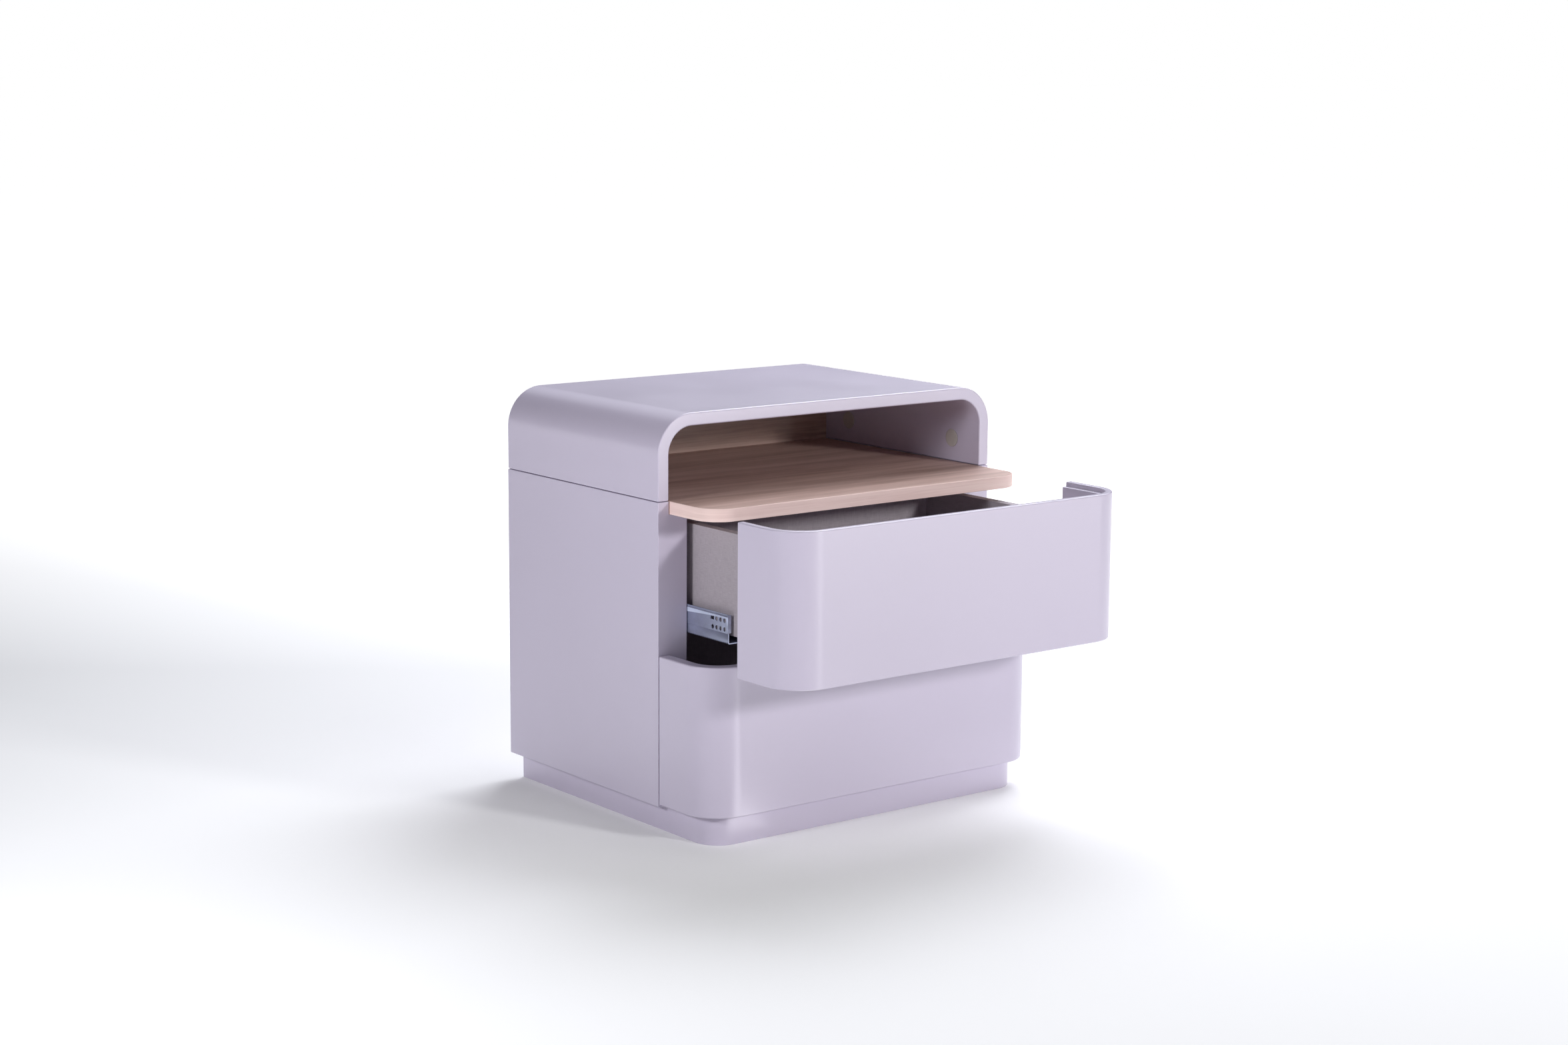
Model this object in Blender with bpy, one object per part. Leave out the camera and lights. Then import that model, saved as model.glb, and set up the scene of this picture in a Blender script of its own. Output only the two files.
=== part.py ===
"""Bedside cabinet: an arched top shell over an open niche, a projecting shelf, two handle-less
U-fronted drawers on concealed slides, and a recessed plinth.

Frame: metres, +Z up, the fronts face -Y and +X is the viewer's right. The origin is on the floor
under the centre of the closed cabinet. The upper drawer is modelled partly open.
"""

import math

import bmesh
import bpy
from mathutils import Matrix, Vector

# --- Driving dimensions -------------------------------------------------------------------------

WIDTH = 0.500
DEPTH = 0.4135  # with both drawers closed
HEIGHT = 0.487
BOARD = 0.015  # the lacquered board that most of the cabinet is made of
TOUCH = 0.0003  # gap between pieces that touch

FRONT_REACH = 0.0985  # how far the closed drawer fronts stand in front of the side panels
UPPER_OPENING = 0.1473  # how far the upper drawer is pulled out

SEAM_Z = 0.388  # joint between the arched shell and the side panels, level with the shelf's top
SEAM_GAP = 0.0006
SHELL_RADIUS = 0.047
SIDE_THICKNESS = 0.0405

PLINTH_HEIGHT = 0.0325
PLINTH_INSET = 0.015
PLINTH_BACK_INSET = 0.005
PLINTH_RADIUS = 0.032

SHELF_REACH = 0.0814  # how far the shelf stands in front of the side panels
SHELF_INSET = 0.0155  # from the cabinet's side to the shelf's edge
SHELF_RADIUS = 0.0322
EDGE_BAND = 0.0012

FRONT_HEIGHT = 0.1748
LOWER_FRONT_Z = 0.0358
UPPER_FRONT_Z = 0.2117
FRONT_WALL = 0.0145
FRONT_RADIUS = 0.0462
FRONT_SEAM = 0.001  # between a front's returns and the side panels
LIP_WALL = 0.0088  # the upper front's top edge, thinned on its inside
LIP_DEPTH = 0.0056

BOX_INSET = 0.050  # from the cabinet's side to a drawer side's outer face
BOX_WALL = 0.012
BOX_LENGTH = 0.285
BOX_SIDE_HEIGHT = 0.1179
BOX_SIDE_RISE = 0.0288  # from a front's bottom edge to its drawer side's bottom edge
BOX_BOTTOM_RISE = 0.0389
BOX_BOTTOM = 0.006

RAIL_LENGTH = 0.300
RAIL_REACH = 0.077  # how far the fixed rails stand in front of the side panels
RAIL_HEIGHT = 0.0343
RAIL_RISE = 0.0205  # from a front's bottom edge to its fixed rail's underside
RAIL_STEEL = 0.0012
MIDDLE_RAIL_LENGTH = 0.285
MIDDLE_RAIL_INSET = 0.008  # behind the fixed rail's front end, with the drawer closed
PLATE_STEP = 0.0008  # the wall plate's lower part stands this much further in
PLATE_STEP_RISE = 0.0120
TRACK_INWARD = 0.0300  # from the side panel to the track that the moving rails ride on
TRACK_HEIGHT = 0.0100
RAIL_HOLE_RADIUS = 0.0025
RAIL_HOLE_PITCH = 0.0075
RAIL_HOLE_INSET = 0.0064  # first hole behind the rail's front end
RAIL_HOLE_ROWS = ((0.0265, 3), (0.0164, 4))  # height above the rail's foot, number of holes
RAIL_SLOT_INSET = 0.0295
RAIL_SLOT_LENGTH = 0.0064
RAIL_SLOT_HEIGHT = 0.0040

CAM_RISE = 0.029  # centre of a cam fitting above the seam
CAM_RADIUS = 0.0075
CAM_DEPTH = 0.0115
CAM_CLEARANCE = 0.0003
CAM_BORE_DEPTH = 0.0122
CAP_RADIUS = 0.011
CAP_THICKNESS = 0.0012
BOLT_RADIUS = 0.003
BOLT_BORE_RADIUS = 0.0034
BOLT_BORE_DEPTH = 0.012
BOLT_DEPTH = 0.0115  # of the bolt's foot below the seam
DOWEL_RADIUS = 0.004
DOWEL_LENGTH = 0.028
DOWEL_CHAMFER = 0.001
DOWEL_BORE_RADIUS = 0.0043
DOWEL_BORE_DEPTH = 0.0145

SCREW_X = 0.130  # from the middle to a screw that holds a drawer front
SCREW_RISE = 0.095
SCREW_SHANK = 0.002
SCREW_HEAD = 0.004
SCREW_HEAD_HEIGHT = 0.0022
SCREW_BITE = 0.009  # how far a screw goes into its drawer front
SCREW_PILOT_DEPTH = 0.010

CLIP_INWARD = 0.0372  # from the side panel to a locking clip's outer edge
CLIP_SETBACK = 0.010
CLIP_THICKNESS = 0.011

# --- Derived places ------------------------------------------------------------------------------

HALF_WIDTH = WIDTH / 2
FRONT_Y = -DEPTH / 2
SEAM_Y = FRONT_Y + FRONT_REACH
BACK_Y = DEPTH / 2
SHELF_BOTTOM_Z = SEAM_Z - BOARD
SIDE_INNER_X = HALF_WIDTH - SIDE_THICKNESS
NICHE_HALF_WIDTH = HALF_WIDTH - BOARD
BACK_PANEL_Y = BACK_Y - BOARD
CAM_Z = SEAM_Z + CAM_RISE
WALL_CENTRE_X = HALF_WIDTH - BOARD / 2
BOX_FRONT_Y = FRONT_Y + FRONT_WALL + TOUCH
RAIL_FRONT_Y = SEAM_Y - RAIL_REACH
BOX_BACK_Y = BOX_FRONT_Y + BOX_LENGTH
BOX_INNER_X = HALF_WIDTH - BOX_INSET - BOX_WALL

CAM_YS = {"front": SEAM_Y + 0.0506, "rear": BACK_Y - 0.062}
DOWEL_YS = {"front": SEAM_Y + 0.110, "rear": BACK_Y - 0.110}
SIDES = {"left": -1, "right": 1}

# --- Finishes: colour, roughness, metallic -------------------------------------------------------

LACQUER = ((0.60, 0.56, 0.67), 0.34, 0.0)
WOOD_LAMINATE = ((0.42, 0.30, 0.23), 0.55, 0.0)
EDGING = ((0.70, 0.52, 0.46), 0.50, 0.0)
LINEN_LAMINATE = ((0.36, 0.32, 0.34), 0.75, 0.0)
GALVANISED_STEEL = ((0.55, 0.57, 0.60), 0.38, 1.0)
ZINC_FITTING = ((0.50, 0.50, 0.50), 0.40, 1.0)
CAP_PLASTIC = ((0.48, 0.44, 0.38), 0.45, 0.0)
CLIP_PLASTIC = ((0.22, 0.23, 0.25), 0.50, 0.0)
BEECH = ((0.58, 0.42, 0.26), 0.70, 0.0)


# --- Building blocks -----------------------------------------------------------------------------


def finish_piece(piece, finish):
    """Give a piece its own material."""
    colour, roughness, metallic = finish
    material = bpy.data.materials.new(piece.name)
    material.use_nodes = True
    shader = material.node_tree.nodes["Principled BSDF"]
    shader.inputs["Base Color"].default_value = (*colour, 1.0)
    shader.inputs["Roughness"].default_value = roughness
    shader.inputs["Metallic"].default_value = metallic
    piece.data.materials.append(material)


def add_object(name, shape, parent=None):
    """Turn a bmesh into an object, with its faces pointing out."""
    bmesh.ops.recalc_face_normals(shape, faces=shape.faces)
    mesh = bpy.data.meshes.new(name)
    shape.to_mesh(mesh)
    shape.free()
    piece = bpy.data.objects.new(name, mesh)
    bpy.context.scene.collection.objects.link(piece)
    piece.parent = parent
    return piece


def prism_shape(outline, across, start, end):
    """Extrude an outline: one in X and Y runs along Z, one in X and Z runs along Y."""
    shape = bmesh.new()
    if across == "XY":
        corners = [shape.verts.new((x, y, start)) for x, y in outline]
        travel = (0, 0, end - start)
    else:
        corners = [shape.verts.new((x, start, z)) for x, z in outline]
        travel = (0, end - start, 0)
    face = shape.faces.new(corners)
    grown = bmesh.ops.extrude_face_region(shape, geom=[face])
    moved = [part for part in grown["geom"] if isinstance(part, bmesh.types.BMVert)]
    bmesh.ops.translate(shape, verts=moved, vec=travel)
    return shape


def prism(name, outline, across, start, end, finish, parent=None):
    piece = add_object(name, prism_shape(outline, across, start, end), parent)
    finish_piece(piece, finish)
    return piece


def board(name, low, high, finish, parent=None):
    """A plain board between two opposite corners."""
    (x0, y0, z0), (x1, y1, z1) = low, high
    outline = [(x0, y0), (x1, y0), (x1, y1), (x0, y1)]
    return prism(name, outline, "XY", z0, z1, finish, parent)


def lathe_shape(rings, place, direction, sides=24):
    """Turn (distance, radius) rings about an axis that starts at place and runs in direction."""
    turn = Vector((0, 0, 1)).rotation_difference(Vector(direction)).to_matrix().to_4x4()
    stand = Matrix.Translation(place) @ turn
    shape = bmesh.new()
    loops = []
    for distance, radius in rings:
        angles = [2 * math.pi * side / sides for side in range(sides)]
        points = [(radius * math.cos(a), radius * math.sin(a), distance) for a in angles]
        loops.append([shape.verts.new(stand @ Vector(point)) for point in points])
    for below, above in zip(loops, loops[1:]):
        for side in range(sides):
            after = (side + 1) % sides
            shape.faces.new((below[side], below[after], above[after], above[side]))
    shape.faces.new(loops[0])
    shape.faces.new(loops[-1])
    return shape


def turned(name, rings, place, direction, finish, parent=None, sides=24):
    piece = add_object(name, lathe_shape(rings, place, direction, sides), parent)
    finish_piece(piece, finish)
    piece.data.shade_smooth()
    piece.data.set_sharp_from_angle(angle=math.radians(35))
    return piece


def cut(target, name, shape):
    """Take a shape away from a piece, with a hidden cutter that moves with it."""
    cutter = add_object(f"{target.name}_{name}_cutter", shape, target.parent)
    cutter.hide_render = True
    cutter.display_type = "WIRE"
    boolean = target.modifiers.new(name, "BOOLEAN")
    boolean.operation = "DIFFERENCE"
    boolean.object = cutter


def bore(target, name, place, direction, radius, depth, sides=20):
    """Drill a round hole that starts just outside the piece."""
    lead = 0.002
    cut(target, name, lathe_shape([(-lead, radius), (depth, radius)], place, direction, sides))


def arc(centre_x, centre_y, radius, start, end, steps=12):
    """Points along an arc, with its angles in degrees from +X."""
    angles = [math.radians(start + (end - start) * step / steps) for step in range(steps + 1)]
    return [(centre_x + radius * math.cos(a), centre_y + radius * math.sin(a)) for a in angles]


def round_front_path(half_width, front_y, back_y, radius):
    """The plan path from the back left, round two front corners, to the back right."""
    corner_x = half_width - radius
    corner_y = front_y + radius
    left = arc(-corner_x, corner_y, radius, 180, 270)
    right = arc(corner_x, corner_y, radius, 270, 360)
    return [(-half_width, back_y), *left, *right, (half_width, back_y)]


def u_outline(half_width, front_y, back_y, radius, wall):
    """The plan of a board bent round two front corners."""
    outer = round_front_path(half_width, front_y, back_y, radius)
    inner = round_front_path(half_width - wall, front_y + wall, back_y, radius - wall)
    return outer + inner[::-1]


def strip_outline(path, thickness):
    """The outline of sheet metal that follows a path, with mitred bends."""
    points = [Vector(point) for point in path]
    runs = [(after - before).normalized() for before, after in zip(points, points[1:])]
    normals = [Vector((-run.y, run.x)) for run in runs]
    offsets = [normals[0]]
    offsets += [(a + b) / (1 + a.dot(b)) for a, b in zip(normals, normals[1:])]
    offsets.append(normals[-1])
    half = thickness / 2
    above = [tuple(point + offset * half) for point, offset in zip(points, offsets)]
    below = [tuple(point - offset * half) for point, offset in zip(points, offsets)]
    return above + below[::-1]


# --- Plinth and carcass --------------------------------------------------------------------------


def build_plinth():
    """A recessed bent skirt, closed at the back by a rail and stiffened by a cross rail."""
    top = PLINTH_HEIGHT
    half = HALF_WIDTH - PLINTH_INSET
    back = BACK_Y - PLINTH_BACK_INSET
    outline = u_outline(half, FRONT_Y + PLINTH_INSET, back, PLINTH_RADIUS, BOARD)
    prism("plinth_skirt", outline, "XY", 0, top, LACQUER)
    inner = half - BOARD - TOUCH
    board("plinth_back_rail", (-inner, back - BOARD, 0), (inner, back, top), LACQUER)
    board("plinth_cross_rail", (-inner, -BOARD, 0), (inner, BOARD, top), LACQUER)


def build_base_board():
    """The bottom board mirrors the shelf: its rounded front nests inside the lower drawer front."""
    bottom = PLINTH_HEIGHT + TOUCH
    inner = SIDE_INNER_X - TOUCH
    reach = HALF_WIDTH - SHELF_INSET
    front = SEAM_Y - SHELF_REACH
    wings = SEAM_Y - FRONT_SEAM
    plan = round_front_path(reach, front, wings, SHELF_RADIUS)
    plan += [(inner, wings), (inner, BACK_PANEL_Y - TOUCH)]
    plan += [(-inner, BACK_PANEL_Y - TOUCH), (-inner, wings)]
    prism("base_board", plan, "XY", bottom, bottom + BOARD, LACQUER)


def build_side_panel(side, sign):
    """A thick side, rabbeted along its inner top edge to take the shelf."""
    bottom = PLINTH_HEIGHT + TOUCH
    top = SEAM_Z - SEAM_GAP / 2
    ledge = SHELF_BOTTOM_Z - TOUCH
    outer = sign * HALF_WIDTH
    inner = sign * SIDE_INNER_X
    niche = sign * NICHE_HALF_WIDTH
    outline = [(outer, bottom), (outer, top), (niche, top)]
    outline += [(niche, ledge), (inner, ledge), (inner, bottom)]
    panel = prism(f"{side}_side_panel", outline, "XZ", SEAM_Y, BACK_Y, LACQUER)
    for place, y in CAM_YS.items():
        mouth = (sign * WALL_CENTRE_X, y, top)
        bore(panel, f"{place}_bolt", mouth, (0, 0, -1), BOLT_BORE_RADIUS, BOLT_BORE_DEPTH)
    for place, y in DOWEL_YS.items():
        mouth = (sign * WALL_CENTRE_X, y, top)
        bore(panel, f"{place}_dowel", mouth, (0, 0, -1), DOWEL_BORE_RADIUS, DOWEL_BORE_DEPTH)


def build_back_panels():
    """The lower back closes the drawer space; the laminate-faced upper back closes the niche."""
    half = SIDE_INNER_X - TOUCH
    bottom = PLINTH_HEIGHT + TOUCH
    low = (-half, BACK_PANEL_Y, bottom)
    board("carcass_back_panel", low, (half, BACK_Y, SHELF_BOTTOM_Z - TOUCH), LACQUER)
    half = NICHE_HALF_WIDTH - TOUCH
    radius = SHELL_RADIUS - BOARD
    top = HEIGHT - BOARD - TOUCH
    right = arc(half - radius, top - radius, radius, 0, 90)
    left = arc(radius - half, top - radius, radius, 90, 180)
    bottom = SEAM_Z + TOUCH
    outline = [(half, bottom), *right, *left, (-half, bottom)]
    prism("niche_back_panel", outline, "XZ", BACK_PANEL_Y, BACK_Y, WOOD_LAMINATE)


def build_shelf():
    """The shelf runs through to the back; an edge band wraps its projecting front."""
    half = HALF_WIDTH - SHELF_INSET
    front = SEAM_Y - SHELF_REACH
    wings = SEAM_Y - TOUCH
    band = u_outline(half, front, wings, SHELF_RADIUS, EDGE_BAND)
    prism("shelf_edge_band", band, "XY", SHELF_BOTTOM_Z, SEAM_Z, EDGING)
    inset = EDGE_BAND + TOUCH
    plan = round_front_path(half - inset, front + inset, wings, SHELF_RADIUS - inset)
    rear_half = NICHE_HALF_WIDTH - TOUCH
    plan += [(rear_half, wings + TOUCH), (rear_half, BACK_Y)]
    plan += [(-rear_half, BACK_Y), (-rear_half, wings + TOUCH)]
    prism("shelf_board", plan, "XY", SHELF_BOTTOM_Z, SEAM_Z, WOOD_LAMINATE)


def build_top_shell():
    """Top and upper sides in one bent arch, drilled for its cam fittings, bolts and dowels."""
    bottom = SEAM_Z + SEAM_GAP / 2
    centre_x = HALF_WIDTH - SHELL_RADIUS
    centre_z = HEIGHT - SHELL_RADIUS
    inner_radius = SHELL_RADIUS - BOARD
    outer = [(HALF_WIDTH, bottom)]
    outer += arc(centre_x, centre_z, SHELL_RADIUS, 0, 90)
    outer += arc(-centre_x, centre_z, SHELL_RADIUS, 90, 180)
    outer.append((-HALF_WIDTH, bottom))
    inner = [(-NICHE_HALF_WIDTH, bottom)]
    inner += arc(-centre_x, centre_z, inner_radius, 180, 90)
    inner += arc(centre_x, centre_z, inner_radius, 90, 0)
    inner.append((NICHE_HALF_WIDTH, bottom))
    shell = prism("top_shell", outer + inner, "XZ", SEAM_Y, BACK_Y, LACQUER)
    for side, sign in SIDES.items():
        for place, y in CAM_YS.items():
            cam = (sign * NICHE_HALF_WIDTH, y, CAM_Z)
            name = f"{side}_{place}"
            radius = CAM_RADIUS + CAM_CLEARANCE
            bore(shell, f"{name}_cam", cam, (sign, 0, 0), radius, CAM_BORE_DEPTH)
            bolt = (sign * WALL_CENTRE_X, y, bottom)
            bore(shell, f"{name}_bolt", bolt, (0, 0, 1), BOLT_BORE_RADIUS, CAM_RISE - BOLT_RADIUS)
        for place, y in DOWEL_YS.items():
            dowel = (sign * WALL_CENTRE_X, y, bottom)
            name = f"{side}_{place}_dowel"
            bore(shell, name, dowel, (0, 0, 1), DOWEL_BORE_RADIUS, DOWEL_BORE_DEPTH)


def build_shell_fittings(side, sign):
    """Cam housings in the shell's walls with their caps and bolts, and plain dowels between."""
    wall_x = sign * WALL_CENTRE_X
    inward = (-sign, 0, 0)
    for place, y in CAM_YS.items():
        name = f"{place}_{side}"
        seat = sign * (NICHE_HALF_WIDTH + TOUCH)
        rings = [(-CAM_DEPTH, CAM_RADIUS), (0, CAM_RADIUS)]
        turned(f"cam_fitting_{name}", rings, (seat, y, CAM_Z), inward, ZINC_FITTING)
        face = sign * (NICHE_HALF_WIDTH - TOUCH)
        rim = CAP_THICKNESS * 0.6
        rings = [(0, CAP_RADIUS), (rim, CAP_RADIUS), (CAP_THICKNESS, CAP_RADIUS - 0.0012)]
        turned(f"cam_cover_cap_{name}", rings, (face, y, CAM_Z), inward, CAP_PLASTIC, sides=32)
        foot = SEAM_Z - BOLT_DEPTH
        length = CAM_Z - CAM_RADIUS - CAM_CLEARANCE - TOUCH - foot
        rings = [(0, BOLT_RADIUS), (length, BOLT_RADIUS)]
        turned(f"cam_bolt_{name}", rings, (wall_x, y, foot), (0, 0, 1), ZINC_FITTING, sides=12)
    for place, y in DOWEL_YS.items():
        tip = DOWEL_RADIUS - DOWEL_CHAMFER
        rings = [(0, tip), (DOWEL_CHAMFER, DOWEL_RADIUS)]
        rings += [(DOWEL_LENGTH - DOWEL_CHAMFER, DOWEL_RADIUS), (DOWEL_LENGTH, tip)]
        foot = (wall_x, y, SEAM_Z - DOWEL_LENGTH / 2)
        turned(f"dowel_{place}_{side}", rings, foot, (0, 0, 1), BEECH, sides=16)


# --- Slides --------------------------------------------------------------------------------------


def rail_path(side_points, sign, foot_z):
    """Rail path points, given as (in from the side panel, up from the rail's foot)."""
    return [(sign * (SIDE_INNER_X - inward), foot_z + up) for inward, up in side_points]


def build_fixed_rail(level, side, sign, foot_z):
    """A galvanised rail: wall plate with a step, foot flange and the track that stands on it."""
    half = RAIL_STEEL / 2
    plate = TOUCH + half
    path = [
        (plate, RAIL_HEIGHT),
        (plate, PLATE_STEP_RISE + 0.0004),
        (plate + PLATE_STEP, PLATE_STEP_RISE),
        (plate + PLATE_STEP, half),
        (TRACK_INWARD, half),
        (TRACK_INWARD, TRACK_HEIGHT),
    ]
    outline = strip_outline(rail_path(path, sign, foot_z), RAIL_STEEL)
    name = f"{level}_{side}_fixed_rail"
    back = RAIL_FRONT_Y + RAIL_LENGTH
    rail = prism(name, outline, "XZ", RAIL_FRONT_Y, back, GALVANISED_STEEL)
    spare = 0.002
    near, far = TRACK_INWARD - 0.008, TRACK_INWARD + spare
    low, high = -spare, TRACK_HEIGHT + spare
    nose = rail_path([(near, low), (far, low), (far, high), (near, high)], sign, foot_z)
    cut(rail, "nose", prism_shape(nose, "XZ", RAIL_FRONT_Y - spare, RAIL_FRONT_Y + 0.006))
    inward = (-sign, 0, 0)
    for row, (rise, count) in enumerate(RAIL_HOLE_ROWS):
        for hole in range(count):
            y = RAIL_FRONT_Y + RAIL_HOLE_INSET + hole * RAIL_HOLE_PITCH
            place = (sign * SIDE_INNER_X, y, foot_z + rise)
            bore(rail, f"hole_{row}_{hole}", place, inward, RAIL_HOLE_RADIUS, 0.003, sides=12)
    low = RAIL_HOLE_ROWS[0][0] - RAIL_SLOT_HEIGHT / 2
    high = low + RAIL_SLOT_HEIGHT
    slot = rail_path([(-spare, low), (0.003, low), (0.003, high), (-spare, high)], sign, foot_z)
    start = RAIL_FRONT_Y + RAIL_SLOT_INSET - RAIL_SLOT_LENGTH / 2
    cut(rail, "slot", prism_shape(slot, "XZ", start, start + RAIL_SLOT_LENGTH))


def channel(name, sign, foot_z, half_width, low, high, start, end, parent):
    """A downward-facing steel channel that rides over the fixed rail's track."""
    near, far = TRACK_INWARD - half_width, TRACK_INWARD + half_width
    path = [(near, low), (near, high), (far, high), (far, low)]
    outline = strip_outline(rail_path(path, sign, foot_z), RAIL_STEEL)
    prism(name, outline, "XZ", start, end, GALVANISED_STEEL, parent)


def build_middle_rails(level, foot_z, opened):
    """The middle members travel half as far as their drawer."""
    carrier = bpy.data.objects.new(f"{level}_middle_slide", None)
    bpy.context.scene.collection.objects.link(carrier)
    carrier.location = (0, -opened / 2, 0)
    start = RAIL_FRONT_Y + MIDDLE_RAIL_INSET
    end = start + MIDDLE_RAIL_LENGTH
    for side, sign in SIDES.items():
        name = f"{level}_{side}_middle_rail"
        channel(name, sign, foot_z, 0.0030, 0.0030, 0.0130, start, end, carrier)


# --- Drawers -------------------------------------------------------------------------------------


def build_drawer_front(level, foot_z, slide):
    """A front bent round both corners, its returns ending at the side panels."""
    rear = SEAM_Y - FRONT_SEAM
    outline = u_outline(HALF_WIDTH, FRONT_Y, rear, FRONT_RADIUS, FRONT_WALL)
    top = foot_z + FRONT_HEIGHT
    front = prism(f"{level}_drawer_front", outline, "XY", foot_z, top, LACQUER, slide)
    if level == "upper":
        radius = FRONT_RADIUS - LIP_WALL
        half = HALF_WIDTH - LIP_WALL
        plan = round_front_path(half, FRONT_Y + LIP_WALL, rear + 0.01, radius)
        cut(front, "rabbet", prism_shape(plan, "XY", top - LIP_DEPTH, top + 0.005))
    return front


def build_drawer_box(level, foot_z, slide):
    """Two sides with a sub-front, a back and a bottom between them."""
    low = foot_z + BOX_SIDE_RISE
    top = low + BOX_SIDE_HEIGHT
    floor = foot_z + BOX_BOTTOM_RISE
    outer = HALF_WIDTH - BOX_INSET
    half = BOX_INNER_X - TOUCH
    front, back = BOX_FRONT_Y, BOX_BACK_Y
    for side, sign in SIDES.items():
        xs = sorted((sign * outer, sign * BOX_INNER_X))
        corners = (xs[0], front, low), (xs[1], back, top)
        board(f"{level}_drawer_{side}_side", *corners, LINEN_LAMINATE, slide)
    sub_front = board(
        f"{level}_drawer_sub_front",
        (-half, front, floor),
        (half, front + BOX_WALL, top),
        LINEN_LAMINATE,
        slide,
    )
    board(
        f"{level}_drawer_back",
        (-half, back - BOX_WALL, floor),
        (half, back, top),
        LINEN_LAMINATE,
        slide,
    )
    board(
        f"{level}_drawer_bottom",
        (-half, front + BOX_WALL + TOUCH, floor),
        (half, back - BOX_WALL - TOUCH, floor + BOX_BOTTOM),
        LINEN_LAMINATE,
        slide,
    )
    return sub_front


def build_front_screws(level, foot_z, slide, front, sub_front):
    """Pan-head screws through the sub-front into the lacquered front."""
    inner_y = BOX_FRONT_Y + BOX_WALL
    reach = BOX_WALL + TOUCH + SCREW_BITE
    hole = SCREW_SHANK + TOUCH
    forward = (0, -1, 0)
    for side, sign in SIDES.items():
        place = (sign * SCREW_X, inner_y, foot_z + SCREW_RISE)
        bore(sub_front, f"{side}_screw_hole", place, forward, hole, BOX_WALL + 0.002, 12)
        pilot = (place[0], FRONT_Y + FRONT_WALL, place[2])
        bore(front, f"{side}_screw_pilot", pilot, forward, hole, SCREW_PILOT_DEPTH, 12)
        rings = [(-reach, SCREW_SHANK), (TOUCH, SCREW_SHANK), (TOUCH, SCREW_HEAD)]
        rings += [(SCREW_HEAD_HEIGHT * 0.6, SCREW_HEAD), (SCREW_HEAD_HEIGHT, SCREW_HEAD * 0.6)]
        name = f"{level}_front_screw_{side}"
        turned(name, rings, place, (0, 1, 0), ZINC_FITTING, slide, sides=12)


def build_locking_clip(level, side, sign, foot_z, slide):
    """A plastic lever under the drawer that hooks its rail: a body with a thumb tab."""
    top = foot_z + BOX_BOTTOM_RISE - TOUCH
    near = SIDE_INNER_X - CLIP_INWARD
    front = BOX_FRONT_Y + BOX_WALL + TOUCH + CLIP_SETBACK
    body = [(0, 0.038), (0, 0), (0.012, 0)]
    tab = [(0.026, -0.008), (0.030, -0.006), (0.022, 0.012), (0.014, 0.038)]
    plan = [(sign * (near - inward), front + back) for inward, back in body + tab]
    name = f"{level}_locking_clip_{side}"
    prism(name, plan, "XY", top - CLIP_THICKNESS, top, CLIP_PLASTIC, slide)


def build_drawer(level, foot_z, opened):
    """One drawer with its share of the slides, carried by an empty on the slides' axis."""
    slide = bpy.data.objects.new(f"{level}_drawer_slide", None)
    bpy.context.scene.collection.objects.link(slide)
    slide.location = (0, -opened, 0)
    front = build_drawer_front(level, foot_z, slide)
    sub_front = build_drawer_box(level, foot_z, slide)
    build_front_screws(level, foot_z, slide, front, sub_front)
    rail_z = foot_z + RAIL_RISE
    build_middle_rails(level, rail_z, opened)
    start = BOX_FRONT_Y + BOX_WALL + 0.001
    for side, sign in SIDES.items():
        build_locking_clip(level, side, sign, foot_z, slide)
        build_fixed_rail(level, side, sign, rail_z)
        name = f"{level}_{side}_drawer_rail"
        channel(name, sign, rail_z, 0.0060, 0.0050, 0.0175, start, BOX_BACK_Y, slide)


def main():
    for leftover in list(bpy.data.objects):
        bpy.data.objects.remove(leftover)
    build_plinth()
    build_base_board()
    build_back_panels()
    build_shelf()
    build_top_shell()
    for side, sign in SIDES.items():
        build_side_panel(side, sign)
        build_shell_fittings(side, sign)
    build_drawer("lower", LOWER_FRONT_Z, 0.0)
    build_drawer("upper", UPPER_FRONT_Z, UPPER_OPENING)


main()
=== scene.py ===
"""Bedside cabinet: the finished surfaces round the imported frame.

Metres, +Z up, the fronts face -Y. Every visible board, front, rail and cap is a detailed piece with
eased edges and a procedural finish. Places come from the frame's boxes.
"""

import math

import bmesh
import bpy
from mathutils import Matrix, Vector


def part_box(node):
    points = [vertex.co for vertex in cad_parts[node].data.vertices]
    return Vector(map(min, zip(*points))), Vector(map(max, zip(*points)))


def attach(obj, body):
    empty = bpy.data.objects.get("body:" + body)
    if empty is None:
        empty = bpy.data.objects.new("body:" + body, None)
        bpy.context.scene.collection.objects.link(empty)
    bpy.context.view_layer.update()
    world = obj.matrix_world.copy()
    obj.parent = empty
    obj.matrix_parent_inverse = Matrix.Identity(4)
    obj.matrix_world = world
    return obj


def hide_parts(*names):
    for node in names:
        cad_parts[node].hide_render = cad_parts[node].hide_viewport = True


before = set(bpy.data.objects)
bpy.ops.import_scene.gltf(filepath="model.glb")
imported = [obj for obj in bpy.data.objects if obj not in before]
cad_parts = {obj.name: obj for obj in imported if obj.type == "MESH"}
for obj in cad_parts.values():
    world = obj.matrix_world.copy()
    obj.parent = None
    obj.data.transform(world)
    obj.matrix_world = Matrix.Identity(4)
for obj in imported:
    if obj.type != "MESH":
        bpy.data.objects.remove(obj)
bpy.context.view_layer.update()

# --- Sizes that the boxes don't hold -------------------------------------------------------------

BOARD = 0.015
SHELL_RADIUS = 0.047
FRONT_RADIUS = 0.0462
FRONT_WALL = 0.0145
LIP_WALL = 0.0088
LIP_DEPTH = 0.0056
SHELF_RADIUS = 0.0322
PLINTH_RADIUS = 0.032
EDGE_BAND = 0.0012
TOUCH = 0.0003
WING_GAP = 0.001
ARC_STEPS = 28

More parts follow.
